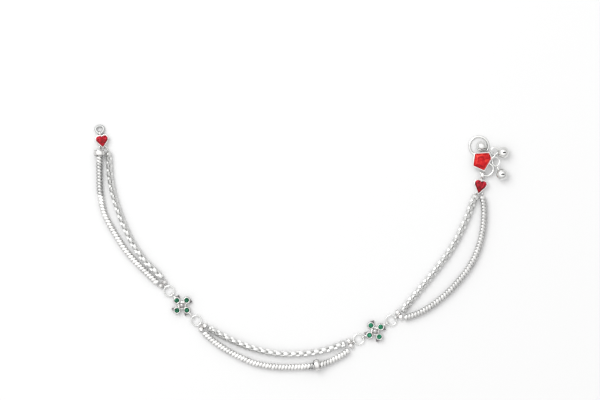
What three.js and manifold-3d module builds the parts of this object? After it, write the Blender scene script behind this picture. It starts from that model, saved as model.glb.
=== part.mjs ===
// A payal: a silver anklet of two strands, lying open on a flat surface.
// Millimetres, +Z up, the surface is z = 0, and the ankle's side of the curve faces +Y.
// Three sections of doubled chain are joined by two flowers of four green stones. One end has
// a heart and a plain ring, the other a heart, an S-shaped hook with a five-sided stone, and bells.

import * as THREE from 'three';
import { mergeVertices } from 'three/addons/utils/BufferGeometryUtils.js';
import Module from 'manifold-3d';

const wasm = await Module();
wasm.setup();

// ---- driving sizes ----

const CHAIN_SIDES = 8;
const WIRE_SIDES = 6;
const ROUND_SIDES = 14; // round a ball, a petal or an upright eye
const CLEARANCE = 0.15; // between a stone and its cup's wall

const SNAKE_RADIUS = 1.15;
const BOX_RADIUS = 1.2;
const CHAIN_STEPS = 26;

const LINK_HEIGHT = 1.0; // the height at which the small eyes and jump rings meet
const EYE_RADIUS = 0.62;
const EYE_WIRE = 0.2;
const NECK_RADIUS = 0.3;

const JUMP_RING_RADIUS = 2.05;
const JUMP_RING_WIRE = 0.25;

const LOBE_RADIUS = 1.06; // the two domes of a strand connector
const LOBE_REACH = 1.75;
const LOBE_SPREAD = 1.1;

const PETAL_REACH = 2.8; // from the flower's middle to the middle of a petal
const PETAL_RADIUS = 1.45;
const PETAL_TIP = 2.35;
const PETAL_TIP_TURN = 64; // the tip's direction, in degrees clockwise of the petal's own
const PETAL_HEIGHT = 1.3;
const BEZEL_HEIGHT = 2.2;
const BEZEL_WALL = 0.25;
const ROUND_STONE_RADIUS = 1.05;
const FLOWER_BALL = 1.2;
const HUB_RADIUS = 1.7;

const HEART_LOBE = 1.65;
const HEART_LOBE_SPREAD = 1.05;
const HEART_HEIGHT = 2.2;
const HEART_SEAT = 1.1;
const HEART_WALL = 0.3;

const PENTAGON_BASE = 1.45; // the five-sided cup's underside
const PENTAGON_HEIGHT = 1.9;
const PENTAGON_WALL = 0.35;
const PENTAGON_SEAT = 0.7;

const HOOK_WIRE = 0.42;
const HOOK_TOP_RADIUS = 3.78;
const HOOK_LOW_RADIUS = 2.85;

const BELL_WALL = 0.28;
const BELL_SLIT = 0.45;
const BELL_LOOP_WIRE = 0.2;
const BELL_NECK_RADIUS = 0.32;

// ---- places along the anklet ----

// Each chain's centre line, from the plain end to the hook end, as x, y.
const ROUTES = {
  snake_chain_left: [
    [-81.0, 39.0], [-81.0, 36.2], [-81.0, 32.2], [-80.9, 27.8], [-80.8, 23.4], [-80.2, 19.0], [-79.4, 15.0],
    [-77.8, 11.0], [-75.6, 7.0], [-73.2, 3.0], [-70.4, -1.2], [-66.4, -5.8], [-63.3, -8.9], [-60.3, -11.8],
    [-57.9, -14.2],
  ],
  box_chain_left: [
    [-77.4, 37.9], [-77.2, 36.0], [-77.0, 33.0], [-76.7, 28.6], [-75.9, 23.8], [-74.7, 19.0], [-73.4, 15.0],
    [-71.9, 11.0], [-70.2, 7.0], [-68.3, 3.0], [-65.8, -1.0], [-62.9, -5.0], [-59.4, -8.5], [-56.0, -11.9],
  ],
  snake_chain_middle: [
    [-39.2, -34.0], [-35.8, -37.0], [-32.3, -39.6], [-28.3, -42.0], [-23.2, -44.5], [-18.9, -46.2],
    [-14.4, -47.2], [-10.0, -47.7], [-5.6, -47.8], [-0.8, -47.7], [3.2, -47.4], [5.9, -46.9], [8.2, -46.5],
    [11.2, -45.5], [14.5, -43.8], [16.8, -42.5], [18.6, -41.0],
  ],
  box_chain_middle: [
    [-37.1, -32.1], [-34.7, -33.7], [-30.0, -36.2], [-25.4, -38.3], [-20.8, -40.0], [-14.7, -41.6],
    [-8.6, -42.5], [-2.4, -42.5], [3.8, -41.9], [8.4, -41.0], [13.0, -39.6], [16.8, -38.2],
  ],
  snake_chain_right: [
    [41.1, -28.1], [43.2, -27.5], [47.2, -26.0], [51.3, -23.6], [55.3, -20.6], [59.3, -17.0], [63.0, -12.9],
    [66.2, -8.8], [68.6, -4.8], [70.3, -0.8], [71.5, 3.2], [72.3, 7.2], [72.7, 11.0], [72.8, 14.8],
    [72.5, 18.2], [72.0, 20.4],
  ],
  box_chain_right: [
    [40.2, -25.3], [44.0, -20.6], [49.2, -14.4], [54.7, -7.5], [59.2, -1.3], [62.7, 4.9], [65.8, 11.6],
    [68.1, 17.6], [69.4, 20.8],
  ],
};

// A ring bead is threaded on a snake chain, which climbs over the bead's wall.
const BEADS = {
  rondelle_left: { x: -81.0, y: 37.8, angle: 90 },
  rondelle_middle: { x: 5.9, y: -46.9, angle: 10 },
};
const BEAD_RADIUS = 2.25;
const BEAD_HOLE = 1.55;
const BEAD_WIDTH = 2.2;
const BEAD_LIFT = BEAD_RADIUS - SNAKE_RADIUS;
const BEAD_REACH = 6; // the length of chain on each side that the bead lifts

// Each flower: its middle, the turn of its petals, and at each end the direction and distance of
// the eye that its jump ring passes through.
const FLOWERS = {
  left: { x: -48.0, y: -23.1, turn: 46, ends: [{ angle: 132, reach: 5.7 }, { angle: -46.5, reach: 6.3 }] },
  right: { x: 29.2, y: -33.4, turn: 36.5, ends: [{ angle: 206, reach: 5.3 }, { angle: 34, reach: 5.7 }] },
};

// Each heart: its middle, its turn, the length from its lobes' line to its point, and its eyes.
const HEARTS = {
  left: {
    x: -79.8, y: 42.35, turn: 8, point: 3.8,
    eyes: [
      { x: -80.75, y: 45.5, z: 1.25, angle: 111, radius: 1, wire: 0.24 },
      { x: -80.8, y: 40.1, z: LINK_HEIGHT, angle: -90, radius: EYE_RADIUS, wire: EYE_WIRE },
      { x: -77.7, y: 39.1, z: LINK_HEIGHT, angle: -60, radius: EYE_RADIUS, wire: EYE_WIRE },
    ],
  },
  right: {
    x: 71.1, y: 24.1, turn: -13, point: 4.5,
    eyes: [
      { x: 72.1, y: 28.9, z: 1.5, angle: 82, radius: 1.2, wire: 0.28 },
      { x: 69.6, y: 22.0, z: LINK_HEIGHT, angle: -110, radius: EYE_RADIUS, wire: EYE_WIRE },
      { x: 72.0, y: 21.5, z: LINK_HEIGHT, angle: -80, radius: EYE_RADIUS, wire: EYE_WIRE },
    ],
  },
};

// The end ring is pear-shaped: its far side is wider than the side in the heart's eye.
const END_RING = { from: [-80.75, 45.55, 1.25], to: [-81.0, 48.65, 0.5], wire: 0.45, taper: 0.25 };

const HOOK_TOP = { x: 70.7, y: 40.6, z: 0.45 };
const HOOK_LOW = { x: 73.6, y: 31.5, z: 1.3 };
const PENTAGON = {
  x: 72.2, y: 34.8,
  corners: [[-3.4, 3.05], [-4.2, -2.3], [0.7, -4.45], [3.8, 0.7], [2.65, 3.4]],
};
const BELL_EYE = { x: 76.9, y: 36.55, z: 1.5, radius: 1.2, wire: 0.26 };
const BELL_STAPLE = { x: 71.8, y: 37.95, z: 0.7, half: 0.9, wire: 0.16 };

// Each bell: its middle and radius, the heading of its slit's middle and the slit's own direction
// and length as a share of the radius, and its loop from the end that hangs to the bell's end.
const BELLS = {
  bell_1: {
    at: [80.4, 37.95, 2.3], radius: 2.3, towards: [0.1, 0, 0.995], along: [0.995, 0, -0.1], slit: 0.6,
    from: [76.9, 37.15, 1.5], to: [76.9, 40.0, 1.7], wide: 1,
  },
  bell_2: {
    at: [79.8, 29.25, 2.35], radius: 2.35, towards: [0.1, 0, 0.995], along: [0.995, 0, -0.1], slit: 0.6,
    from: [77.25, 36.1, 1.5], to: [77.65, 32.6, 2.0], wide: 0.8,
  },
  bell_3: {
    at: [71.7, 40.5, 2.1], radius: 2.1, towards: [0, -0.64, 0.77], along: [1, 0, 0], slit: 1.4,
    from: null, to: null, wide: 1,
  },
};

// ---- shaping helpers ----

const radians = THREE.MathUtils.degToRad;
const vector = (p) => new THREE.Vector3(...p);
const heading = (degrees) => new THREE.Vector3(Math.cos(radians(degrees)), Math.sin(radians(degrees)), 0);

function toSolid(geometry) {
  const bare = geometry.clone();
  bare.deleteAttribute('normal');
  bare.deleteAttribute('uv');
  const merged = mergeVertices(bare, 1e-4);
  const vertProperties = new Float32Array(merged.attributes.position.array);
  const triVerts = new Uint32Array(merged.index.array);
  return new wasm.Manifold(new wasm.Mesh({ numProp: 3, vertProperties, triVerts }));
}

function toGeometry(solid) {
  const mesh = solid.getMesh();
  const geometry = new THREE.BufferGeometry();
  geometry.setAttribute('position', new THREE.BufferAttribute(new Float32Array(mesh.vertProperties), 3));
  geometry.setIndex(new THREE.BufferAttribute(new Uint32Array(mesh.triVerts), 1));
  return geometry;
}

const joined = (geometries) => toGeometry(geometries.map(toSolid).reduce((sum, solid) => sum.add(solid)));
const cut = (body, tool) => toGeometry(toSolid(body).subtract(toSolid(tool)));

// A round-ish section with a flat below, above and at both sides.
function sectionOf(radius, sides) {
  const reach = radius / Math.cos(Math.PI / sides);
  const points = Array.from({ length: sides }, (_, i) => {
    const angle = ((i + 0.5) * 2 * Math.PI) / sides;
    return new THREE.Vector2(reach * Math.cos(angle), reach * Math.sin(angle));
  });
  return new THREE.Shape(points);
}

function tube(points, radius, steps, sides) {
  const extrudePath = new THREE.CatmullRomCurve3(points, false, 'centripetal');
  return new THREE.ExtrudeGeometry(sectionOf(radius, sides), { steps, bevelEnabled: false, extrudePath });
}

// A straight round bar between two points.
function bar(from, to, radius) {
  const run = to.clone().sub(from);
  const upright = new THREE.Vector3(0, 1, 0);
  const turn = new THREE.Quaternion().setFromUnitVectors(upright, run.clone().normalize());
  const geometry = new THREE.CylinderGeometry(radius, radius, run.length(), WIRE_SIDES);
  geometry.applyQuaternion(turn);
  const middle = from.clone().add(to).multiplyScalar(0.5);
  return geometry.translate(middle.x, middle.y, middle.z);
}

function ball(centre, radius, around = ROUND_SIDES) {
  const geometry = new THREE.SphereGeometry(radius, around, Math.round(around * 0.7));
  geometry.rotateX(Math.PI / 2);
  return geometry.translate(centre.x, centre.y, centre.z);
}

// A wire ring lying as flat as it can between two points of its centre line. A taper makes its far
// side wider than the near one.
function flatRing(from, to, wire, wide = 1, taper = 0) {
  const run = to.clone().sub(from);
  const along = run.clone().normalize();
  const across = new THREE.Vector3(-along.y, along.x, 0).normalize();
  const geometry = new THREE.TorusGeometry(run.length() / 2, wire, WIRE_SIDES, 18);
  const { position } = geometry.attributes;
  for (let i = 0; i < position.count; i += 1) {
    const share = (2 * position.getX(i)) / run.length();
    position.setY(i, position.getY(i) * wide * (1 + taper * share));
  }
  const axes = new THREE.Matrix4().makeBasis(along, across, along.clone().cross(across));
  geometry.applyMatrix4(axes);
  const middle = from.clone().add(to).multiplyScalar(0.5);
  return geometry.translate(middle.x, middle.y, middle.z);
}

// A wire ring standing upright, edge-on from above, in the plane of a heading.
function eye(centre, angle, radius = EYE_RADIUS, wire = EYE_WIRE) {
  const geometry = new THREE.TorusGeometry(radius, wire, WIRE_SIDES, ROUND_SIDES);
  geometry.rotateX(Math.PI / 2);
  geometry.rotateZ(radians(angle));
  return geometry.translate(centre.x, centre.y, centre.z);
}

const plate = (shape, depth, base = 0) =>
  new THREE.ExtrudeGeometry(shape, { depth, bevelEnabled: false, curveSegments: 5 }).translate(0, 0, base);

// A stone of any outline: a straight girdle, and a crown that slopes in to a smaller flat table.
function cutStone(shape, girdle, crown, table, base) {
  const levels = { depth: 2, steps: 2, bevelEnabled: false, curveSegments: 5 };
  const geometry = new THREE.ExtrudeGeometry(shape, levels);
  const heights = [0, girdle, girdle + crown];
  const { position } = geometry.attributes;
  for (let i = 0; i < position.count; i += 1) {
    const level = Math.round(position.getZ(i));
    const shrink = level === 2 ? table : 1;
    position.setXYZ(i, position.getX(i) * shrink, position.getY(i) * shrink, base + heights[level]);
  }
  return geometry;
}

// ---- outlines ----

// A heart with its point towards -Y, shrunk all round by an inset, about the middle of its length.
function heartShape(point, inset = 0) {
  const full = Math.hypot(HEART_LOBE_SPREAD, point);
  const slope = Math.atan(HEART_LOBE_SPREAD / point) + Math.asin(HEART_LOBE / full);
  const radius = HEART_LOBE - inset;
  const tip = point - inset / Math.sin(slope);
  const notch = Math.acos(-HEART_LOBE_SPREAD / radius);
  const shift = (point - HEART_LOBE) / 2;
  const shape = new THREE.Shape();
  shape.moveTo(0, shift - tip);
  shape.lineTo(HEART_LOBE_SPREAD + radius * Math.cos(slope), shift - radius * Math.sin(slope));
  shape.absarc(HEART_LOBE_SPREAD, shift, radius, -slope, notch, false);
  shape.absarc(-HEART_LOBE_SPREAD, shift, radius, Math.PI - notch, Math.PI + slope, false);
  shape.closePath();
  return shape;
}

// A round petal with one pointed tip, at a heading from the petal's middle.
function petalShape(angle) {
  const spread = Math.acos(PETAL_RADIUS / PETAL_TIP);
  const middle = radians(angle);
  const shape = new THREE.Shape();
  shape.moveTo(PETAL_TIP * Math.cos(middle), PETAL_TIP * Math.sin(middle));
  shape.lineTo(PETAL_RADIUS * Math.cos(middle + spread), PETAL_RADIUS * Math.sin(middle + spread));
  shape.absarc(0, 0, PETAL_RADIUS, middle + spread, middle - spread + 2 * Math.PI, false);
  shape.closePath();
  return shape;
}

// The five-sided outline, each side moved inwards by an inset.
function pentagonShape(inset = 0) {
  const corners = PENTAGON.corners.map(([x, y]) => new THREE.Vector2(x, y));
  const count = corners.length;
  const moved = corners.map((corner, i) => {
    const before = corner.clone().sub(corners[(i + count - 1) % count]).normalize();
    const after = corners[(i + 1) % count].clone().sub(corner).normalize();
    const inwards = new THREE.Vector2(-before.y - after.y, before.x + after.x).normalize();
    const stretch = inset / inwards.dot(new THREE.Vector2(-before.y, before.x));
    return corner.clone().add(inwards.multiplyScalar(stretch));
  });
  return new THREE.Shape(moved);
}

// ---- pieces ----

// The chain's height where a bead lifts it: a smooth hump of the bead's wall.
function liftAt(x, y) {
  const reach = Math.min(...Object.values(BEADS).map((bead) => Math.hypot(x - bead.x, y - bead.y)));
  return reach < BEAD_REACH ? BEAD_LIFT * Math.cos((Math.PI * reach) / (2 * BEAD_REACH)) ** 2 : 0;
}

function chain(route, radius, lifted) {
  const places = route.map(([x, y]) => new THREE.Vector3(x, y, 0));
  const flat = new THREE.CatmullRomCurve3(places, false, 'centripetal');
  const points = flat.getSpacedPoints(CHAIN_STEPS);
  const raised = points.map(({ x, y }) => new THREE.Vector3(x, y, radius + (lifted ? liftAt(x, y) : 0)));
  return tube(raised, radius, CHAIN_STEPS, CHAIN_SIDES);
}

function rondelle({ x, y, angle }) {
  const middle = (BEAD_RADIUS + BEAD_HOLE) / 2;
  const thick = (BEAD_RADIUS - BEAD_HOLE) / 2;
  const profile = Array.from({ length: 9 }, (_, i) => {
    const turn = (i * 2 * Math.PI) / 8;
    return new THREE.Vector2(middle + thick * Math.cos(turn), (BEAD_WIDTH / 2) * Math.sin(turn));
  });
  const geometry = new THREE.LatheGeometry(profile, 18);
  geometry.rotateZ(radians(angle - 90));
  return geometry.translate(x, y, BEAD_RADIUS);
}

const flowerPoint = (flower, angle, reach, z) => {
  return new THREE.Vector3(flower.x, flower.y, z).add(heading(angle).multiplyScalar(reach));
};

function petal(flower, angle) {
  const body = plate(petalShape(angle - PETAL_TIP_TURN), PETAL_HEIGHT);
  const bezel = new THREE.CylinderGeometry(PETAL_RADIUS, PETAL_RADIUS, BEZEL_HEIGHT, ROUND_SIDES);
  bezel.rotateX(Math.PI / 2);
  bezel.translate(0, 0, BEZEL_HEIGHT / 2);
  const place = flowerPoint(flower, angle, PETAL_REACH, 0);
  return joined([body, bezel]).translate(place.x, place.y, 0);
}

function stoneSeat(flower, angle) {
  const radius = ROUND_STONE_RADIUS + CLEARANCE;
  const seat = new THREE.CylinderGeometry(radius, radius, BEZEL_HEIGHT, ROUND_SIDES);
  seat.rotateX(Math.PI / 2);
  const place = flowerPoint(flower, angle, PETAL_REACH, PETAL_HEIGHT + BEZEL_HEIGHT / 2);
  return seat.translate(place.x, place.y, place.z);
}

function flowerSetting(flower) {
  const angles = [0, 1, 2, 3].map((i) => flower.turn + 90 * i);
  const hub = new THREE.CylinderGeometry(HUB_RADIUS, HUB_RADIUS, PETAL_HEIGHT, ROUND_SIDES);
  hub.rotateX(Math.PI / 2);
  hub.translate(flower.x, flower.y, PETAL_HEIGHT / 2);
  const ends = flower.ends.flatMap(({ angle, reach }) => [
    eye(flowerPoint(flower, angle, reach, LINK_HEIGHT), angle),
    bar(
      flowerPoint(flower, angle, PETAL_REACH, LINK_HEIGHT),
      flowerPoint(flower, angle, reach - EYE_RADIUS, LINK_HEIGHT),
      NECK_RADIUS,
    ),
  ]);
  const middle = ball(new THREE.Vector3(flower.x, flower.y, PETAL_HEIGHT), FLOWER_BALL);
  const body = joined([hub, middle, ...angles.map((angle) => petal(flower, angle)), ...ends]);
  return angles.map((angle) => stoneSeat(flower, angle)).reduce(cut, body);
}

function roundStone(flower, angle) {
  const profile = [
    [0, 0], [0.75, 0], [ROUND_STONE_RADIUS, 0.35], [ROUND_STONE_RADIUS, 0.5], [0.62, 0.95], [0, 0.95],
  ];
  const geometry = new THREE.LatheGeometry(profile.map(([r, z]) => new THREE.Vector2(r, z)), 8);
  geometry.rotateX(Math.PI / 2);
  const place = flowerPoint(flower, angle, PETAL_REACH, PETAL_HEIGHT + CLEARANCE);
  return geometry.translate(place.x, place.y, place.z);
}

const ringCentre = (flower, { angle, reach }) =>
  flowerPoint(flower, angle, reach + JUMP_RING_RADIUS, LINK_HEIGHT);

function jumpRing(flower, end) {
  const centre = ringCentre(flower, end);
  const half = heading(end.angle).multiplyScalar(JUMP_RING_RADIUS);
  return flatRing(centre.clone().sub(half), centre.clone().add(half), JUMP_RING_WIRE);
}

// An eye on the jump ring, and two domes that the strands end in.
function strandConnector(flower, { angle, reach }) {
  const start = reach + 2 * JUMP_RING_RADIUS;
  const side = heading(angle + 90).multiplyScalar(LOBE_SPREAD);
  const yoke = flowerPoint(flower, angle, start + LOBE_REACH, LOBE_RADIUS);
  const lobes = [yoke.clone().add(side), yoke.clone().sub(side)];
  const eyeEdge = flowerPoint(flower, angle, start + EYE_RADIUS, LINK_HEIGHT);
  return joined([
    eye(flowerPoint(flower, angle, start, LINK_HEIGHT), angle),
    bar(eyeEdge, yoke, NECK_RADIUS),
    bar(...lobes, 0.55),
    ...lobes.map((lobe) => ball(lobe, LOBE_RADIUS, 10)),
  ]);
}

function heartPlate(heart, inset, depth, base) {
  const geometry = plate(heartShape(heart.point, inset), depth, base);
  geometry.rotateZ(radians(heart.turn));
  return geometry.translate(heart.x, heart.y, 0);
}

function heartSetting(heart) {
  const eyes = heart.eyes.flatMap((one) => {
    const centre = new THREE.Vector3(one.x, one.y, one.z);
    const middle = new THREE.Vector3(heart.x, heart.y, LINK_HEIGHT);
    const inwards = middle.clone().sub(centre).setZ(0).normalize();
    const edge = centre.clone().add(inwards.multiplyScalar(one.radius));
    return [eye(centre, one.angle, one.radius, one.wire), bar(edge, middle, NECK_RADIUS)];
  });
  const body = joined([heartPlate(heart, 0, HEART_HEIGHT, 0), ...eyes]);
  return cut(body, heartPlate(heart, HEART_WALL, HEART_HEIGHT, HEART_SEAT));
}

function heartStone(heart) {
  const shape = heartShape(heart.point, HEART_WALL + CLEARANCE);
  const geometry = cutStone(shape, 0.6, 0.75, 0.6, HEART_SEAT + CLEARANCE);
  geometry.rotateZ(radians(heart.turn));
  return geometry.translate(heart.x, heart.y, 0);
}

// Points round part of a loop, from one heading to another, at the loop's height.
function arcPoints(loop, radius, from, to, count) {
  return Array.from({ length: count }, (_, i) => {
    const spoke = heading(from + ((to - from) * i) / (count - 1)).multiplyScalar(radius);
    return new THREE.Vector3(loop.x, loop.y, loop.z).add(spoke);
  });
}

function hookWire() {
  const points = [
    ...arcPoints(HOOK_TOP, HOOK_TOP_RADIUS, -36, 225, 11),
    new THREE.Vector3(PENTAGON.x - 0.2, PENTAGON.y + 0.6, 1.15),
    ...arcPoints(HOOK_LOW, HOOK_LOW_RADIUS, 20, -158, 8),
  ];
  return tube(points, HOOK_WIRE, 50, CHAIN_SIDES);
}

const pentagonPlate = (inset, base) =>
  plate(pentagonShape(inset), PENTAGON_HEIGHT, base).translate(PENTAGON.x, PENTAGON.y, 0);

// The upright ring at the cup's side that two bells hang from.
function bellEye() {
  const { x, y, z, radius, wire } = BELL_EYE;
  const top = z + radius;
  return [
    eye(new THREE.Vector3(x, y, z), 90, radius, wire),
    bar(new THREE.Vector3(PENTAGON.x + 3, y - 1.2, top), new THREE.Vector3(x, y, top), NECK_RADIUS),
  ];
}

// The bent wire under the cup that the third bell hangs from.
function bellStaple() {
  const { x, y, z, half, wire } = BELL_STAPLE;
  const foot = PENTAGON_BASE + 0.3;
  const row = y - 0.1;
  return [
    bar(new THREE.Vector3(x - half, y, z), new THREE.Vector3(x + half, y, z), wire),
    ...[x - half + wire, x + half - wire].map((post) =>
      bar(new THREE.Vector3(post, row, z), new THREE.Vector3(post, row - 0.6, foot), wire),
    ),
  ];
}

function sHook() {
  const body = joined([hookWire(), pentagonPlate(0, PENTAGON_BASE), ...bellEye(), ...bellStaple()]);
  return cut(body, pentagonPlate(PENTAGON_WALL, PENTAGON_BASE + PENTAGON_SEAT));
}

function pentagonStone() {
  const shape = pentagonShape(PENTAGON_WALL + CLEARANCE);
  const base = PENTAGON_BASE + PENTAGON_SEAT + CLEARANCE;
  return cutStone(shape, 0.6, 0.7, 0.62, base).translate(PENTAGON.x, PENTAGON.y, 0);
}

// A hollow ball with a slit, and the wire that it hangs by.
function bell(name) {
  const { at, radius, towards, along, slit } = BELLS[name];
  const centre = vector(at);
  const hollow = cut(ball(centre, radius), ball(centre, radius - BELL_WALL));
  const opening = new THREE.BoxGeometry(slit * radius, BELL_SLIT, radius + 1);
  opening.translate(0, 0, (radius + 1) / 2);
  const outwards = vector(towards).normalize();
  const across = outwards.clone().cross(vector(along)).normalize();
  opening.applyMatrix4(new THREE.Matrix4().makeBasis(across.clone().cross(outwards), across, outwards));
  opening.translate(centre.x, centre.y, centre.z);
  return joined([cut(hollow, opening), ...(BELLS[name].from ? bellLoop(BELLS[name]) : bellTail(centre))]);
}

// The neck starts at the end of a narrow loop, and at the side of a round one.
function bellLoop({ at, radius, from, to, wide }) {
  const centre = vector(at);
  const half = vector(from).distanceTo(vector(to)) / 2;
  const side = vector(from).add(vector(to)).multiplyScalar(0.5).add(new THREE.Vector3(half, 0, 0));
  const near = wide < 1 ? vector(to) : side;
  const reach = centre.clone().sub(near);
  const skin = centre.clone().sub(reach.setLength(radius - BELL_WALL / 2));
  const loop = flatRing(vector(from), vector(to), BELL_LOOP_WIRE, wide);
  return [loop, bar(near, skin, BELL_NECK_RADIUS)];
}

function bellTail(centre) {
  const { x, y, z } = BELL_STAPLE;
  const small = new THREE.Vector3(x, y, z);
  const skin = new THREE.Vector3(x, centre.y - 1.45, z + 0.1);
  return [eye(small, 90, 0.48, 0.16), bar(new THREE.Vector3(x, y + 0.5, z), skin, 0.2)];
}

// ---- the whole anklet ----

const SILVER = { color: 0xdcdcda, roughness: 0.22, metalness: 1 };
const RED = { color: 0xb3131f, roughness: 0.05, metalness: 0 };
const GREEN = { color: 0x1c7a55, roughness: 0.05, metalness: 0 };

const anklet = new THREE.Group();

function add(name, geometry, look) {
  const mesh = new THREE.Mesh(geometry, new THREE.MeshStandardMaterial(look));
  mesh.name = name;
  anklet.add(mesh);
}

for (const [name, route] of Object.entries(ROUTES)) {
  const snake = name.startsWith('snake');
  add(name, chain(route, snake ? SNAKE_RADIUS : BOX_RADIUS, snake), SILVER);
}

for (const [name, place] of Object.entries(BEADS)) {
  add(name, rondelle(place), SILVER);
}

let joint = 0;
for (const [side, flower] of Object.entries(FLOWERS)) {
  add(`flower_setting_${side}`, flowerSetting(flower), SILVER);
  for (let i = 0; i < 4; i += 1) {
    add(`flower_stone_${side}_${i + 1}`, roundStone(flower, flower.turn + 90 * i), GREEN);
  }
  for (const end of flower.ends) {
    joint += 1;
    add(`jump_ring_${joint}`, jumpRing(flower, end), SILVER);
    add(`strand_connector_${joint}`, strandConnector(flower, end), SILVER);
  }
}

for (const [side, heart] of Object.entries(HEARTS)) {
  add(`heart_setting_${side}`, heartSetting(heart), SILVER);
  add(`heart_stone_${side}`, heartStone(heart), RED);
}

const { from, to, wire, taper } = END_RING;
add('end_ring', flatRing(vector(from), vector(to), wire, 1, taper), SILVER);
add('s_hook', sHook(), SILVER);
add('pentagon_stone', pentagonStone(), RED);

for (const name of Object.keys(BELLS)) {
  add(name, bell(name), SILVER);
}

export default anklet;
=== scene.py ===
"""A payal anklet of polished silver, lying open on a pale table.

Two strands, a snake chain and a box chain, run side by side through three sections. Flowers of four
green stones join the sections. A heart and a plain ring close one end, a heart, an S-shaped hook with
a five-sided stone, and three bells the other. Lengths are in millimetres until a mesh is made.
"""

import math

import bpy
import numpy as np
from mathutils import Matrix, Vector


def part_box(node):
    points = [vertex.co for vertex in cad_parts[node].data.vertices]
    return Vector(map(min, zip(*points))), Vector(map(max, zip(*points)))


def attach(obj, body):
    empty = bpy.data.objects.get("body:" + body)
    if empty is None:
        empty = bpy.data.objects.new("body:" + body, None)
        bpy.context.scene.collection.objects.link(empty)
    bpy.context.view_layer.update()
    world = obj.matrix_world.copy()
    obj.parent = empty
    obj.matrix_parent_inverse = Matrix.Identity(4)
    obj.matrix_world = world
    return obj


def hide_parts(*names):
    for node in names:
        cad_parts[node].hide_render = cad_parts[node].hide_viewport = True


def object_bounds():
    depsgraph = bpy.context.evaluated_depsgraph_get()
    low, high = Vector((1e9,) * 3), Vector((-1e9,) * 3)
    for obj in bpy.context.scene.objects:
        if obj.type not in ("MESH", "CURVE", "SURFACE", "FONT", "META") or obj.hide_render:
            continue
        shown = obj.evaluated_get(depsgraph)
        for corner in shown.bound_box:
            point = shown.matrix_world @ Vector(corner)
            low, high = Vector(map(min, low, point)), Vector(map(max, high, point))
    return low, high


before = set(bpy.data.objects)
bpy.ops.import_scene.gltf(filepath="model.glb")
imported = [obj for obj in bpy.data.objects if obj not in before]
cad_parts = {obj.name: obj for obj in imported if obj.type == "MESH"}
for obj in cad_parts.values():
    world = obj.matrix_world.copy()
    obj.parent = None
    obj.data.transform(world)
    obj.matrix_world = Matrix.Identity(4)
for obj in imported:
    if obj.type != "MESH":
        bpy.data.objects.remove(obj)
CAD_BOX = [list(map(float, corner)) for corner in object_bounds()]

MM = 0.001
TURN = 2 * math.pi
UP = np.array([0.0, 0.0, 1.0])


# ---- sizes and places, in millimetres and degrees, as the frame has them ----

# The snake chain: half its width, the step from link to link, and the angle of a link's plane to its line.
SNAKE_RADIUS = 1.15
SNAKE_PITCH = 1.28
SNAKE_LEAN = 61
# The box chain: half its width, and the step from link to link.
BOX_RADIUS = 1.2
BOX_PITCH = 1.55
# The height of the middles of the eyes between the sections.
LINK_HEIGHT = 1.0
# A connector's two caps: how far past its eye they lie, how far each lies to its side, and the radius of
# the dome and of its rim.
LOBE_REACH = 1.75
LOBE_SPREAD = 1.1
LOBE_RADIUS = 1.06
LOBE_RIM = 1.1
# The ring beads, and how far from one its chain begins to climb.
BEAD_RADIUS = 2.25
BEAD_HOLE = 1.55
BEAD_WIDTH = 2.2
BEAD_REACH = 6.0

# Each chain's line, seen from above.
ROUTES = {
    "snake_chain_left": [
        (-81.0, 39.0), (-81.0, 36.2), (-81.0, 32.2), (-80.9, 27.8), (-80.8, 23.4), (-80.2, 19.0),
        (-79.4, 15.0), (-77.8, 11.0), (-75.6, 7.0), (-73.2, 3.0), (-70.4, -1.2), (-66.4, -5.8),
        (-63.3, -8.9), (-60.3, -11.8), (-57.9, -14.2),
    ],
    "box_chain_left": [
        (-77.4, 37.9), (-77.2, 36.0), (-77.0, 33.0), (-76.7, 28.6), (-75.9, 23.8), (-74.7, 19.0),
        (-73.4, 15.0), (-71.9, 11.0), (-70.2, 7.0), (-68.3, 3.0), (-65.8, -1.0), (-62.9, -5.0),
        (-59.4, -8.5), (-56.0, -11.9),
    ],
    "snake_chain_middle": [
        (-39.2, -34.0), (-35.8, -37.0), (-32.3, -39.6), (-28.3, -42.0), (-23.2, -44.5), (-18.9, -46.2),
        (-14.4, -47.2), (-10.0, -47.7), (-5.6, -47.8), (-0.8, -47.7), (3.2, -47.4), (5.9, -46.9),
        (8.2, -46.5), (11.2, -45.5), (14.5, -43.8), (16.8, -42.5), (18.6, -41.0),
    ],
    "box_chain_middle": [
        (-37.1, -32.1), (-34.7, -33.7), (-30.0, -36.2), (-25.4, -38.3), (-20.8, -40.0), (-14.7, -41.6),
        (-8.6, -42.5), (-2.4, -42.5), (3.8, -41.9), (8.4, -41.0), (13.0, -39.6), (16.8, -38.2),
    ],
    "snake_chain_right": [
        (41.1, -28.1), (43.2, -27.5), (47.2, -26.0), (51.3, -23.6), (55.3, -20.6), (59.3, -17.0),
        (63.0, -12.9), (66.2, -8.8), (68.6, -4.8), (70.3, -0.8), (71.5, 3.2), (72.3, 7.2),
        (72.7, 11.0), (72.8, 14.8), (72.5, 18.2), (72.0, 20.4),
    ],
    "box_chain_right": [
        (40.2, -25.3), (44.0, -20.6), (49.2, -14.4), (54.7, -7.5), (59.2, -1.3), (62.7, 4.9),
        (65.8, 11.6), (68.1, 17.6), (69.4, 20.8),
    ],
}

# How far each chain is rolled about its own line at its two ends, in degrees.
BOX_ROLL = {"box_chain_left": (52, 10), "box_chain_middle": (-38, 8), "box_chain_right": (45, 38)}
SNAKE_ROLL = {"snake_chain_left": (14, 0), "snake_chain_middle": (0, 0), "snake_chain_right": (4, 14)}

# Each bead's middle, and the heading of its chain there.
BEADS = {"rondelle_left": (-81.0, 37.8, 90), "rondelle_middle": (5.9, -46.9, 10)}

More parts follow.
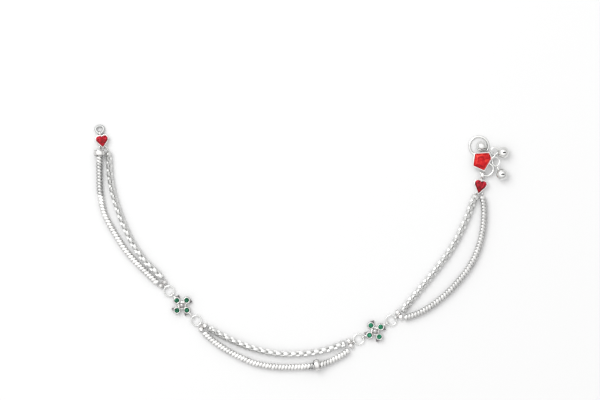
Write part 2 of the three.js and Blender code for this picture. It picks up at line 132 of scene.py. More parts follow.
# The jump rings at each flower's two ends, and how far its eyes lie from its middle.
FLOWERS = {
    "left": {"joints": (1, 2), "reach": (5.7, 6.3)},
    "right": {"joints": (3, 4), "reach": (5.3, 5.7)},
}

# Each heart's middle, its turn, and how far its point lies below its lobes' middles. Each eye's middle, the
# heading of its plane, its radius and its wire's.
HEARTS = {
    "left": {
        "at": (-79.8, 42.35), "turn": 8, "point": 3.8,
        "eyes": [
            (-80.75, 45.5, 1.25, 111, 1.0, 0.24),
            (-80.8, 40.1, 1.0, -90, 0.62, 0.2),
            (-77.7, 39.1, 1.0, -60, 0.62, 0.2),
        ],
    },
    "right": {
        "at": (71.1, 24.1), "turn": -13, "point": 4.5,
        "eyes": [
            (72.1, 28.9, 1.5, 82, 1.2, 0.28),
            (69.6, 22.0, 1.0, -110, 0.62, 0.2),
            (72.0, 21.5, 1.0, -80, 0.62, 0.2),
        ],
    },
}
# The radius of a heart's lobes, and how far each lies to its side.
HEART_LOBE = 1.65
HEART_LOBE_SPREAD = 1.05

# The five-sided cup: its middle, its corners from there, the height of its underside, and its own height.
PENTAGON_AT = (72.2, 34.8)
PENTAGON = [(-3.4, 3.05), (-4.2, -2.3), (0.7, -4.45), (3.8, 0.7), (2.65, 3.4)]
PENTAGON_BASE = 1.45
PENTAGON_HEIGHT = 1.9

# The middles of the hook's two loops, its wire's radius, and the eye and the staple for the bells.
HOOK_TOP = (70.7, 40.6, 0.45)
HOOK_LOW = (73.6, 31.5, 1.3)
HOOK_WIRE = 0.42
BELL_EYE = (76.9, 36.55, 1.5)
BELL_STAPLE = (71.8, 37.95, 0.7)

# The way a slit faces, the way it runs, and its length as a share of the bell's radius.
SLIT_UP = {"towards": (0.1, 0, 0.995), "along": (0.995, 0, -0.1), "slit": 0.6}
SLIT_ASLANT = {"towards": (0, -0.64, 0.77), "along": (1, 0, 0), "slit": 1.4}
# Each bell's middle and radius, and its slit.
BELLS = {
    "bell_1": {"at": (80.4, 37.95, 2.3), "radius": 2.3, **SLIT_UP},
    "bell_2": {"at": (79.8, 29.25, 2.35), "radius": 2.35, **SLIT_UP},
    "bell_3": {"at": (71.7, 40.5, 2.1), "radius": 2.1, **SLIT_ASLANT},
}
BELL_SLIT_WIDTH = 0.45
BELL_SHEET = 0.28


def heading(degrees):
    """The level direction at that many degrees anticlockwise of +X."""
    return np.array([math.cos(math.radians(degrees)), math.sin(math.radians(degrees)), 0.0])


def unit(vectors):
    """Each vector shortened or stretched to length one."""
    vectors = np.asarray(vectors, float)
    return vectors / np.linalg.norm(vectors, axis=-1, keepdims=True)


def middle_of(node):
    """The middle of a frame node's box, in millimetres."""
    low, high = np.array(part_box(node)) / MM
    return (low + high) / 2


# ---- surfaces ----

def grid_faces(rows, columns, ring=False):
    """Quads between neighbouring rows. Each row closes on itself, and a ring's last row meets its first."""
    spans = rows if ring else rows - 1
    row, column = np.meshgrid(np.arange(spans), np.arange(columns), indexing="ij")
    here, ahead = row * columns, (row + 1) % rows * columns
    beside = (column + 1) % columns
    corners = [here + column, here + beside, ahead + beside, ahead + column]
    return np.stack(corners, axis=-1).reshape(-1, 4)


def fan_faces(first, count, pole, flipped):
    """Triangles from a closed row of points to one pole."""
    here = first + np.arange(count)
    after = first + (np.arange(count) + 1) % count
    tip = np.full(count, pole)
    return np.stack([after, here, tip] if flipped else [here, after, tip], axis=-1)


def closed_rows(rows):
    """A shell of closed rows, from the first to the last, with both ends closed to their middles."""
    rows = np.asarray(rows, float)
    count, columns = rows.shape[:2]
    poles = rows[[0, -1]].mean(axis=1)
    points = np.concatenate([rows.reshape(-1, 3), poles])
    start, end = count * columns, count * columns + 1
    faces = grid_faces(count, columns).tolist()
    faces += fan_faces(0, columns, start, True).tolist()
    faces += fan_faces((count - 1) * columns, columns, end, False).tolist()
    return points, faces


def joined(parts):
    """Several shells in one list of points and faces."""
    points, faces, offset = [], [], 0
    for part_points, part_faces in parts:
        points.append(part_points)
        faces += [[index + offset for index in face] for face in part_faces]
        offset += len(part_points)
    return np.concatenate(points), faces


def counted_on(faces, copies, points_each):
    """The faces of many copies of one shell, each copy's corners counted on from the last one's."""
    faces = np.asarray(faces)
    offsets = np.arange(copies)[:, None, None] * points_each
    return (faces[None] + offsets).reshape(-1, faces.shape[1]).tolist()


def repeated(shape, places, axes):
    """One shell set down at many places: each point is the place plus its x, y, z along the place's axes."""
    points, faces = shape
    moved = places[:, None, :] + np.einsum("pk,nkc->npc", points, axes)
    return moved.reshape(-1, 3), counted_on(faces, len(places), len(points))


def swept(path, across, upward, section, scales=1.0):
    """A closed section carried along an open path: path + across * u + upward * v, for each (u, v) of the
    section, times the scale there."""
    u, v = np.asarray(section).T
    offset = across[:, None] * u[None, :, None] + upward[:, None] * v[None, :, None]
    return closed_rows(path[:, None] + offset * np.broadcast_to(scales, len(path))[:, None, None])


def circle(radius, count, second=None):
    """Points round a circle, or an ellipse where a second radius is given."""
    angle = np.arange(count) * TURN / count
    return np.stack([radius * np.cos(angle), (second or radius) * np.sin(angle)], axis=-1)


def revolved(profile, centre, axis, count):
    """A profile of (distance out, distance along) turned about an axis through the centre."""
    axis = unit(axis)
    side = unit(np.cross(axis, UP if abs(axis[2]) < 0.9 else np.array([1.0, 0.0, 0.0])))
    other = np.cross(axis, side)
    angle = np.arange(count) * TURN / count
    spoke = np.cos(angle)[:, None] * side + np.sin(angle)[:, None] * other
    out, along = np.asarray(profile, float).T
    rows = np.asarray(centre) + out[:, None, None] * spoke[None] + along[:, None, None] * axis
    return closed_rows(rows)


def ball(centre, radius, count):
    """A ball: rows at equal steps of latitude, each a circle of radius * cos(latitude)."""
    latitude = np.linspace(-0.5, 0.5, count // 2 + 1)[1:-1] * math.pi
    profile = np.stack([radius * np.cos(latitude), radius * np.sin(latitude)], axis=-1)
    return revolved(profile, centre, UP, count)


def oval_ring(
    centre, long_axis, wide_axis, half_length, half_width, wire, steps=40, sides=12, depth=None, taper=0.0
):
    """A wire ring: a circle of the wire's radius carried round the oval centre + length * cos t + width *
    sin t, where a taper makes the width (1 + taper * cos t) times as large. A depth is the circle's radius
    square to the ring's plane, and makes the wire a band."""
    angle = np.arange(steps) * TURN / steps
    along, wide = unit(long_axis), unit(wide_axis)
    breadth = half_width * np.sin(angle) * (1 + taper * np.cos(angle))
    path = np.asarray(centre) + half_length * np.cos(angle)[:, None] * along + breadth[:, None] * wide
    outwards = half_width * np.cos(angle)[:, None] * along + half_length * np.sin(angle)[:, None] * wide
    level = np.cross(along, wide)
    section = circle(wire, sides, depth)
    rows = path[:, None] + unit(outwards)[:, None] * section[None, :, :1] - level * section[None, :, 1:]
    return rows.reshape(-1, 3), grid_faces(steps, sides, ring=True).tolist()


def upright_eye(x, y, z, angle, radius, wire, broad=None):
    """A small wire ring standing on edge along a heading. A broad one is a band of that half width."""
    return oval_ring((x, y, z), heading(angle), UP, radius, radius, wire, steps=28, sides=10, depth=broad)


def lying_ring(start, end, wire, wide=1.0, taper=0.0):
    """A wire ring whose long axis runs from one point to another, lying as flat as it can."""
    start, end = np.asarray(start, float), np.asarray(end, float)
    run = end - start
    across = unit([-run[1], run[0], 0.0])
    half = np.linalg.norm(run) / 2
    return oval_ring((start + end) / 2, run, across, half, half * wide, wire, taper=taper)


def rod(start, end, radius, end_radius=None):
    """A round bar between two points, tapering from the first radius to the last."""
    start, end = np.asarray(start, float), np.asarray(end, float)
    profile = [(radius, 0.0), (end_radius or radius, np.linalg.norm(end - start))]
    return revolved(profile, start, end - start, 14)


def travelled_along(path):
    """How far along a path each of its points lies."""
    return np.concatenate([[0], np.cumsum(np.linalg.norm(np.diff(path, axis=0), axis=1))])


def points_at(path, travelled, wanted):
    """The points of a path at the wanted distances along it."""
    return np.stack([np.interp(wanted, travelled, column) for column in path.T], axis=-1)


def wire_along(path, radius, sides):
    """A round wire along a path, with rounded ends: near an end its radius at the distance d, in wire
    radii, is the square root of 1 - (1 - d) squared."""
    path = np.asarray(path, float)
    ahead = unit(np.gradient(path, axis=0))
    across = unit(np.cross(UP, ahead))
    upward = np.cross(ahead, across)
    travelled = travelled_along(path)
    from_end = np.minimum(travelled, travelled[-1] - travelled) / radius
    least = 0.02
    scales = np.sqrt(np.clip(1 - (1 - np.clip(from_end, 0, 1)) ** 2, least, 1))
    return swept(path, across, upward, circle(radius, sides), scales)


def smooth_route(points, step):
    """A smooth curve through the points, cut into even steps and read at each step's middle. Between each
    two points it is a cubic whose slopes come from their neighbours, with the square root of each gap as
    its share of the parameter."""
    points = np.asarray(points, float)
    before, beyond = 2 * points[0] - points[1], 2 * points[-1] - points[-2]
    guide = np.concatenate([[before], points, [beyond]])
    gap = np.sqrt(np.linalg.norm(np.diff(guide, axis=0), axis=1))[:, None]
    slope = np.diff(guide, axis=0) / gap
    wide = (guide[2:] - guide[:-2]) / (gap[1:] + gap[:-1])
    tangent = slope[:-1] - wide + slope[1:]
    per_gap = 60
    u = np.linspace(0, 1, per_gap, endpoint=False)[None, :, None]
    first, last = points[:-1, None], points[1:, None]
    leave, arrive = (tangent[:-1] * gap[1:-1])[:, None], (tangent[1:] * gap[1:-1])[:, None]
    cubic = first * (2 * u**3 - 3 * u**2 + 1) + leave * (u**3 - 2 * u**2 + u)
    cubic += last * (3 * u**2 - 2 * u**3) + arrive * (u**3 - u**2)
    dense = np.concatenate([cubic.reshape(-1, points.shape[1]), points[-1:]])
    travelled = travelled_along(dense)
    count = max(2, round(travelled[-1] / step))
    return points_at(dense, travelled, (np.arange(count) + 0.5) * travelled[-1] / count)


# ---- putting a shape into the scene ----

def placed(name, data, location=(0, 0, 0)):
    """A mesh, lamp or camera set down in the scene."""
    holder = bpy.data.objects.new(name, data)
    holder.location = location
    bpy.context.scene.collection.objects.link(holder)
    return holder


def add_piece(stands_for, making, shape, material, sharp=None, tones=1.0):
    """A mesh object in place of a frame node, from points and faces in millimetres. Faces meeting at more
    than the sharp angle keep a crisp edge. Tones give each face a shade, from 0, dark, to 1, bright."""
    name = f"{stands_for}_{making}"
    points, faces = shape
    mesh = bpy.data.meshes.new(name)
    mesh.from_pydata((np.asarray(points) * MM).tolist(), [], faces)
    mesh.polygons.foreach_set("use_smooth", np.ones(len(mesh.polygons), bool))
    if sharp is not None:
        mesh.set_sharp_from_angle(angle=math.radians(sharp))
    layer = mesh.attributes.new("tone", "FLOAT", "FACE")
    layer.data.foreach_set("value", np.broadcast_to(np.float32(tones), len(faces)).copy())
    mesh.materials.append(material)
    mesh.update()
    piece = placed(name, mesh)
    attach(piece, "root")
    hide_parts(stands_for)
    return piece


# ---- materials ----

def linear(hex_colour):
    """An sRGB hex colour as linear red, green, blue and alpha."""
    channels = [int(hex_colour[i : i + 2], 16) / 255 for i in (1, 3, 5)]
    return [c / 12.92 if c <= 0.04045 else ((c + 0.055) / 1.055) ** 2.4 for c in channels] + [1.0]


def node(material, kind, inputs=(), **settings):
    """Adds a node, sets its properties, and for each input sets the value or links the socket given."""
    made = material.node_tree.nodes.new(kind)
    for name, value in settings.items():
        setattr(made, name, value)
    for name, value in dict(inputs).items():
        if isinstance(value, bpy.types.NodeSocket):
            material.node_tree.links.new(value, made.inputs[name])
        else:
            made.inputs[name].default_value = value
    return made


def new_material(name):
    """An empty node material, and the place in the piece that its patterns read."""
    material = bpy.data.materials.new(name)
    material.use_nodes = True
    material.node_tree.nodes.clear()
    return material, node(material, "ShaderNodeTexCoord").outputs["Object"]


def finished(material, finish):
    """The material with its surface shader and output."""
    shader = node(material, "ShaderNodeBsdfPrincipled", finish).outputs["BSDF"]
    node(material, "ShaderNodeOutputMaterial", {"Surface": shader})
    return material


def per_mm(size):
    """The texture scale at which one cell is that many millimetres."""
    return 1 / (size * MM)


def silver(name, light, shade, roughness, cloud, grain, depth):
    """Worked silver. Its colour drifts between a light and a shade, over clouds of tarnish and with each
    face's tone. Its polish and a fine relief follow the grain that its making leaves, which is finer than a
    tenth of a millimetre and is drawn as coarse as it needs to show. Clouds, grain and depth are in
    millimetres."""
    material, place = new_material(name)
    clouds = node(material, "ShaderNodeTexNoise", {"Vector": place, "Scale": per_mm(cloud), "Detail": 3.0})
    haze = {"Value": clouds.outputs["Fac"], "From Min": 0.3, "From Max": 0.7, "To Min": 0.65, "To Max": 1.0}
    clear = node(material, "ShaderNodeMapRange", haze).outputs["Result"]
    tone = node(material, "ShaderNodeAttribute", attribute_name="tone").outputs["Fac"]
    share = node(material, "ShaderNodeMath", {0: clear, 1: tone}, operation="MULTIPLY").outputs[0]
    blend = {"Factor": share, 6: linear(shade), 7: linear(light)}
    colour = node(material, "ShaderNodeMix", blend, data_type="RGBA").outputs[2]
    grains = node(material, "ShaderNodeTexNoise", {"Vector": place, "Scale": per_mm(grain), "Detail": 4.0})
    wear = {"Value": grains.outputs["Fac"], "To Min": roughness * 0.7, "To Max": roughness * 1.4}
    polish = node(material, "ShaderNodeMapRange", wear).outputs["Result"]
    relief = {"Height": grains.outputs["Fac"], "Strength": 0.35, "Distance": depth * MM}
    bump = node(material, "ShaderNodeBump", relief).outputs["Normal"]
    return finished(material, {"Base Color": colour, "Metallic": 1.0, "Roughness": polish, "Normal": bump})


def paste_stone(name, deep, body, bright, glint_size):
    """Coloured glass over foil, with painted reflections. Each facet is painted its own share of light, from
    a deep through a body to a bright colour, flecked with painted glints, under a hard clear surface."""
    material, place = new_material(name)
    facet = node(material, "ShaderNodeAttribute", attribute_name="tone").outputs["Fac"]
    glint_pattern = {"Vector": place, "Scale": per_mm(glint_size), "Randomness": 1.0}
    glint_cells = node(material, "ShaderNodeTexVoronoi", glint_pattern).outputs["Color"]
    glint = node(material, "ShaderNodeSeparateColor", {"Color": glint_cells}).outputs["Red"]
    mixed = {"Factor": 0.35, "A": facet, "B": glint}
    share = node(material, "ShaderNodeMix", mixed, data_type="FLOAT").outputs[0]
    ramp = node(material, "ShaderNodeValToRGB", {"Fac": share})
    dark, light = ramp.color_ramp.elements
    dark.position, light.position = 0.18, 0.9
    dark.color, light.color = linear(deep), linear(bright)
    ramp.color_ramp.elements.new(0.5).color = linear(body)
    glass = {"Base Color": ramp.outputs["Color"], "Roughness": 0.12, "IOR": 1.5, "Specular IOR Level": 0.2}
    return finished(material, glass)


# Silver links, rolled and tumbled in a drum: a satin white that never mirrors. Its grey makes neighbours
# differ a little by chance, and is painted shade on the links drawn darker along one stretch and by a bead.
SNAKE_SILVER = silver("tumbled silver snake links", "#F1F0EE", "#9C9C9B", 0.38, 2.4, 0.3, 0.012)
# Box links get the same tumbling. Their grey is painted shade on slopes and insides, and stays pale.
BOX_SILVER = silver("tumbled silver box links", "#F2F2F0", "#C2C2C1", 0.42, 2.1, 0.3, 0.012)
# Silver wire drawn through a die and polished by hand: narrow, sharp highlights along it.
WIRE_SILVER = silver("drawn polished silver wire", "#E8E8E6", "#A4A5A4", 0.14, 3.0, 0.25, 0.006)
# The same wire, drawn greyer and rougher than the rest: a broad grey sheen.
GREY_DULL_SILVER = silver("grey dull silver wire", "#C4C5C4", "#909190", 0.5, 1.5, 0.3, 0.01)
# Lost wax castings: light silver, dark grey that is painted shade on sides, backs and hollows, a faint
# pebble.
CAST_SILVER = silver("cast polished silver", "#F2F1EF", "#5E585A", 0.24, 1.6, 0.35, 0.016)
# Thin sheet pressed over a form and buffed: a near mirror, with slight dents.
BELL_SILVER = silver("pressed silver sheet", "#E6E6E4", "#B4B4B4", 0.12, 3.5, 0.6, 0.01)
# No buff reaches the sheet inside a bell: it is oxidised, and near black as painted shade,
# so that the slit reads black.
BELL_INSIDE_OXIDE_AND_SHADE = silver("oxidised and shaded sheet inside a bell", "#3A3836", "#1C1B1A", 0.55, 1.5, 0.4, 0.02)

# Pressed lead glass, cut and foiled at the back: painted reflections on its facets jump between bottle green
# and near black.
GREEN_STONE = paste_stone("green paste stone", "#05301F", "#105A3B", "#3A9A76", 0.5)
# The same glass in a deep garnet red, with painted reflections that leave its dullest facets blackish.
HEART_STONE = paste_stone("deep red paste stone", "#4E0308", "#8E0814", "#C8283C", 0.9)
# A thinner, clearer red glass: its brightest painted facet reflections run towards orange.
BRIGHT_STONE = paste_stone("bright red paste stone", "#8A040C", "#B60B14", "#D83A2E", 1.1)


# ---- chains ----

def bead_distance(flat):
    """How far each point, seen from above, is from the middle of the nearest bead."""
    return np.min([np.hypot(*(flat - bead[:2]).T) for bead in BEADS.values()], axis=0)


def chain_line(route, radius, step, lifted):
    """Link places along a route and their axes: ahead, to the left, and up. A chain that a bead is threaded
    on climbs to the bead's middle as the square of a cosine."""
    flat = smooth_route(route, step)
    height = np.full(len(flat), radius)
    if lifted:
        hump = np.cos(np.clip(bead_distance(flat) / BEAD_REACH, 0, 1) * math.pi / 2) ** 2
        height = height + (BEAD_RADIUS - radius) * hump
    places = np.column_stack([flat, height])
    ahead = unit(np.gradient(places, axis=0))
    left = unit(np.cross(UP, ahead))
    return places, ahead, left, np.cross(ahead, left)


def end_plugs(route, places, radius):
    """The soldered plugs that fill a chain's two ends, out to the ends of its route."""
    first, last = [np.append(route[end], places[end, 2]) for end in (0, -1)]
    return [rod(first, places[0], radius), rod(places[-1], last, radius)]


def face_count(shells):
    """How many faces several shells have together."""
    return sum(len(faces) for _, faces in shells)


# A snake link's section: its distance from the chain's line, as a share of the link's outline, and its
# distance along the chain: a flat crown between two rounded edges, and a ridge round the inside.
SNAKE_SECTION = np.array([(0.92, -0.45), (0.985, -0.24), (0.985, 0.24), (0.92, 0.45), (0.65, 0.0)])
SNAKE_SIDES = 14
SNAKE_SQUARENESS = 0.6
SNAKE_CORE = 0.7
SNAKE_PLUG = 0.95
# How bright each strand is overall: the right one is drawn darker.
SNAKE_SHADE = {"snake_chain_left": 1.0, "snake_chain_middle": 1.0, "snake_chain_right": 0.6}


def snake_outline(roll):
    """A link's outline, across and up: a rounded square, the cosine and the sine of the angle each to the
    power SNAKE_SQUARENESS, turned about the chain's line by each roll."""
    angle = (np.arange(SNAKE_SIDES) + 0.5) * TURN / SNAKE_SIDES
    waves = np.cos(angle), np.sin(angle)
    side, rise = [np.sign(wave) * np.abs(wave) ** SNAKE_SQUARENESS for wave in waves]
    return np.cos(roll) * side - np.sin(roll) * rise, np.sin(roll) * side + np.cos(roll) * rise


def snake_shades(name, flat):
    """A shade for each link: it differs from link to link by chance, and painted shade darkens some links.
    """
    shade = np.random.default_rng(len(name)).uniform(0.6, 1.0, len(flat)) * SNAKE_SHADE[name]
    if name == "snake_chain_left":
        # Painted shade: this stretch of the strand is drawn darker.
        shade[4:14] *= 0.15
    reach = bead_distance(flat)
    nearest = reach.argmin()
    if reach.min() < 1 and nearest > 1:
        # Painted shade: the two links on the bead's near side are drawn darker, the nearer one dark.
        shade[nearest - 2:nearest] = 0.8, 0.0
    return shade


def make_snake_chain(name):
    """Slanted links one after another over a narrow core. Each is a crowned band carried round its outline,
    in an upright plane at SNAKE_LEAN to the chain's line."""
    places, ahead, left, upward = chain_line(ROUTES[name], SNAKE_RADIUS, SNAKE_PITCH, lifted=True)
    count = len(places)
    lean = math.radians(SNAKE_LEAN)
    slant = math.cos(lean) * ahead + math.sin(lean) * left
    facing = np.cross(slant, upward)
    across, height = snake_outline(np.radians(np.linspace(*SNAKE_ROLL[name], count))[:, None])
    # A rolled link would dip through the table, so it is lifted clear.
    lowest = places[:, 2:] + SNAKE_RADIUS * height.min(axis=1, keepdims=True)
    places = places - UP * np.minimum(lowest, 0)
    outline = across[..., None] * slant[:, None] / math.sin(lean) + height[..., None] * upward[:, None]
    rows = places[:, None, None] + SNAKE_RADIUS * outline[:, :, None] * SNAKE_SECTION[:, :1]
    rows = rows - facing[:, None, None] * SNAKE_SECTION[:, 1:]
    link_faces = grid_faces(SNAKE_SIDES, len(SNAKE_SECTION), ring=True)
    links = rows.reshape(-1, 3), counted_on(link_faces, count, SNAKE_SIDES * len(SNAKE_SECTION))
    core = swept(places, left, upward, circle(SNAKE_CORE, 8))
    plugs = end_plugs(ROUTES[name], places, SNAKE_PLUG)
    link_tones = np.repeat(snake_shades(name, places[:, :2]), len(link_faces))
    tones = np.concatenate([link_tones, np.full(len(core[1]), 0.8), np.ones(face_count(plugs))])
    shape = joined([links, core] + plugs)
    add_piece(name, "links", shape, SNAKE_SILVER, sharp=50, tones=tones)


# A box link's section, as steps in from its outside and shares of its band's width: the crown, an edge, the
# dished inside and the other edge. Each is painted shade for the strip that starts at its step, darkest in
# the dish.
BOX_SECTION = np.array([
    (-0.2, -0.5), (0.0, -0.17), (0.0, 0.17), (-0.2, 0.5),
    (-0.45, 0.47), (-1.0, 0.2), (-1.0, -0.2), (-0.45, -0.47),
])
BOX_PAINTED_SHADES = [0.3, 0.85, 0.3, 0.9, 0.4, 0.1, 0.4, 0.9]
BOX_SIDES = 12
BOX_BAND = 1.5
BOX_HALF_LENGTH = 1.25
BOX_SQUARENESS = 0.7
BOX_PLUG = 0.85


def box_link():
    """One square link: a crowned band with a dished inside, carried round a rounded square, whose points
    are the cosine and sine of the angle, each to the power BOX_SQUARENESS."""
    half = np.array([BOX_HALF_LENGTH, BOX_RADIUS])
    angle = (np.arange(BOX_SIDES) + 0.5) * TURN / BOX_SIDES
    wave = np.stack([np.cos(angle), np.sin(angle)], axis=-1)
    level = np.zeros((BOX_SIDES, 1))
    outer = np.append(half * np.sign(wave) * np.abs(wave) ** BOX_SQUARENESS, level, axis=1)
    spoke = np.append(unit(np.sign(wave) * np.abs(wave) ** (2 - BOX_SQUARENESS) / half), level, axis=1)
    rows = outer[:, None] + spoke[:, None] * BOX_SECTION[:, :1] - UP * BOX_SECTION[:, 1:] * BOX_BAND
    return rows.reshape(-1, 3), grid_faces(BOX_SIDES, len(BOX_SECTION), ring=True).tolist()


def box_drop(roll):
    """How far a rolled link reaches below its middle: its radius times the larger of the roll's sine and
    cosine, and half of it times the smaller, for its rounded corners."""
    sine, cosine = np.abs(np.sin(roll)), np.abs(np.cos(roll))
    return BOX_RADIUS * np.maximum(sine, cosine) + BOX_RADIUS / 2 * np.minimum(sine, cosine)


def make_box_chain(name):
    """Square links, each a quarter turn from the last, rolled slowly along the chain."""
    places, ahead, left, upward = chain_line(ROUTES[name], BOX_RADIUS, BOX_PITCH, lifted=False)
    count = len(places)
    roll = np.radians(np.linspace(*BOX_ROLL[name], count)) + (np.arange(count) % 2) * math.pi / 2
    across = np.cos(roll)[:, None] * left + np.sin(roll)[:, None] * upward
    facing = np.cross(ahead, across)
    places = places + UP * np.maximum(box_drop(roll) - BOX_RADIUS, 0)[:, None]
    shade = np.random.default_rng(len(name) + 7).uniform(0.6, 1.0, count)
    links = repeated(box_link(), places, np.stack([ahead, across, facing], axis=1))
    plugs = end_plugs(ROUTES[name], places, BOX_PLUG)
    link_tones = np.outer(shade, np.tile(BOX_PAINTED_SHADES, BOX_SIDES)).ravel()
    tones = np.append(link_tones, np.ones(face_count(plugs)))
    shape = joined([links] + plugs)
    add_piece(name, "links", shape, BOX_SILVER, sharp=35, tones=tones)


for chain_name in ROUTES:
    make_chain = make_snake_chain if chain_name.startswith("snake") else make_box_chain
    make_chain(chain_name)


def make_rondelle(name, x, y, angle):
    """A ring bead: an oval section carried round its hole. Its flanks are drawn darker, as painted shade, by
    the fourth power of the sine of the angle round the section."""
    steps, sides = 48, 16
    middle, thick = (BEAD_RADIUS + BEAD_HOLE) / 2, (BEAD_RADIUS - BEAD_HOLE) / 2
    across = np.cross(heading(angle), UP)
    centre = (x, y, BEAD_RADIUS)
    ring = oval_ring(centre, across, UP, middle, middle, thick, steps, sides, depth=BEAD_WIDTH / 2)
    flank = np.abs(np.sin((np.arange(sides) + 0.5) * TURN / sides))
    tones = np.tile(1 - 0.9 * flank ** 4, steps)
    add_piece(name, "cast", ring, CAST_SILVER, tones=tones)


for bead_name, (bead_x, bead_y, bead_angle) in BEADS.items():
    make_rondelle(bead_name, bead_x, bead_y, bead_angle)


# ---- flowers, jump rings and connectors ----

# A petal's radius, how far its tip is from its middle, and how far the tip turns from the flower's spoke.
PETAL_RADIUS = 1.45
PETAL_TIP = 2.35
PETAL_TIP_TURN = math.radians(64)
PETAL_STEPS = 48
# The petal's cup for its stone: the radius and the height of each ring, over the rim and down to the seat.
PETAL_CUP = [(1.42, 1.5), (1.4, 1.85), (1.3, 2.12), (1.22, 2.2), (1.06, 2.2), (1.0, 2.14), (0.98, 1.42)]
# A petal's shades, as painted shade. Its body is drawn dark, but for the side towards the flower's middle.
# Its rim is drawn bright, and its two ends, under it and under the stone, are drawn dark.
PETAL_BODY = np.where(np.abs(np.arange(PETAL_STEPS) - 32) < 10, 1.0, 0.1)
PETAL_RINGS = np.repeat([0.6, 1.0, 1.0, 1.0, 1.0, 0.1, 0.1], PETAL_STEPS)
PETAL_TONES = np.concatenate([np.tile(PETAL_BODY, 6), PETAL_RINGS])
HUB_TONE = 0.5

# The eyes on flowers and connectors: their radius, and the wire's radius on each.
EYE_RADIUS = 0.62
FLOWER_EYE_WIRE = 0.28
CONNECTOR_EYE_WIRE = 0.26


def petal_outline(angle, tip):
    """The petal's edge at each angle: a circle, or the straight tangents that meet at the tip."""
    spread = math.acos(PETAL_RADIUS / PETAL_TIP)
    away = np.abs((angle - tip + math.pi) % TURN - math.pi)
    on_tangent = PETAL_RADIUS / np.cos(np.clip(spread - away, 0, 1.5))
    return np.where(away < spread, on_tangent, PETAL_RADIUS)


def petal(centre, tip):
    """A petal with a cup for its stone: rings that follow its pointed edge, and round ones above them."""
    angle = np.arange(PETAL_STEPS) * TURN / PETAL_STEPS + tip
    edge = petal_outline(angle, tip)
    under_cup = (edge + 1.4) / 2 - 0.12
    body = [(edge - 0.12, 0.0), (edge, 0.12), (edge, 1.0), (edge - 0.1, 1.25), (under_cup, 1.42)]
    spoke = np.stack([np.cos(angle), np.sin(angle), np.zeros(PETAL_STEPS)], axis=-1)
    rings = [(np.broadcast_to(radius, PETAL_STEPS), height) for radius, height in body + PETAL_CUP]
    return closed_rows([centre + radius[:, None] * spoke + height * UP for radius, height in rings])


def flower_eye(centre, direction, reach):
    """The eye at one end of a flower, and the neck that holds it."""
    x, y, _ = centre + direction * reach
    angle = math.degrees(math.atan2(direction[1], direction[0]))
    neck_start = centre + direction * 3.6 + UP * LINK_HEIGHT
    neck_end = centre + direction * (reach - EYE_RADIUS) + UP * LINK_HEIGHT
    neck = rod(neck_start, neck_end, 0.42, FLOWER_EYE_WIRE)
    return [upright_eye(x, y, LINK_HEIGHT, angle, EYE_RADIUS, FLOWER_EYE_WIRE), neck]


def make_flower(side):
    """Four petals about a ball, on a small plate, with an eye at each end, and what hangs from the eyes."""
    stones = np.array([middle_of(f"flower_stone_{side}_{number}") for number in (1, 2, 3, 4)])
    centre = stones.mean(0) * (1, 1, 0)
    plate = revolved([(1.5, 0.05), (1.7, 0.2), (1.7, 1.0), (1.4, 1.25)], centre, UP, 32)
    hub = ball(centre + UP * 1.3, 1.2, 32)
    parts = [plate, hub]
    for stone in stones * (1, 1, 0):
        out = stone - centre
        parts.append(petal(stone, math.atan2(out[1], out[0]) - PETAL_TIP_TURN))
    tones = [np.ones(len(plate[1])), np.full(len(hub[1]), HUB_TONE)] + [PETAL_TONES] * len(stones)
    for joint, reach in zip(FLOWERS[side]["joints"], FLOWERS[side]["reach"]):
        direction = unit((middle_of(f"jump_ring_{joint}") - centre) * (1, 1, 0))
        eye = flower_eye(centre, direction, reach)
        parts += eye
        tones.append(np.ones(face_count(eye)))
        make_connector(joint, centre, direction, reach)
    name = f"flower_setting_{side}"
    shape, tones = joined(parts), np.concatenate(tones)
    add_piece(name, "cast", shape, CAST_SILVER, sharp=50, tones=tones)


def connector_cap(start, outlet):
    """A domed cap that a strand ends in: a quarter circle turned about the outlet's line, then a rim and a
    wall that runs back inside."""
    bend = np.radians(np.linspace(-90, 0, 10)[1:])
    dome = [(LOBE_RADIUS * math.cos(b), LOBE_RADIUS * math.sin(b)) for b in bend]
    rim = [(LOBE_RADIUS, 0.45), (LOBE_RIM, 0.55), (1.08, 0.72), (0.98, 0.75), (0.85, 0.6), (0.8, -0.2)]
    return revolved(dome + rim, start, outlet, 28)


def make_connector(joint, centre, direction, reach):
    """The jump ring, and beyond it an eye and two domed caps, side by side, that the strands end in."""
    ring_name, name = f"jump_ring_{joint}", f"strand_connector_{joint}"
    side = np.cross(UP, direction)
    ring = oval_ring(middle_of(ring_name), direction, side, 2.05, 2.05, 0.25, steps=56)
    add_piece(ring_name, "wire", ring, WIRE_SILVER)
    eye_at = centre + direction * (reach + 4.1) + UP * LINK_HEIGHT
    yoke = eye_at + direction * LOBE_REACH + UP * (LOBE_RIM - LINK_HEIGHT)
    angle = math.degrees(math.atan2(direction[1], direction[0]))
    eye = upright_eye(*eye_at, angle, EYE_RADIUS, CONNECTOR_EYE_WIRE)
    neck = rod(eye_at + direction * 0.5, yoke, 0.4)
    parts = [eye, neck]
    # The neck between the caps is drawn darker, as painted shade.
    tones = [np.ones(len(eye[1])), np.full(len(neck[1]), 0.4)]
    for lean in (1, -1):
        outlet = unit(direction + side * lean * 0.12)
        points, faces = connector_cap(yoke + side * lean * LOBE_SPREAD, outlet)
        parts.append((points, faces))
        # Painted light: the back of the dome is drawn dark as a painted reflection, its side bright, and its
        # mouth in between, as painted shade.
        past_yoke = [np.dot(points[face].mean(axis=0) - yoke, outlet) for face in faces]
        tones.append(np.interp(past_yoke, [-1.0, -0.8, 0.5, 0.7], [0.1, 1.0, 1.0, 0.5]))
    shape, tones = joined(parts), np.concatenate(tones)
    add_piece(name, "cast", shape, CAST_SILVER, sharp=60, tones=tones)


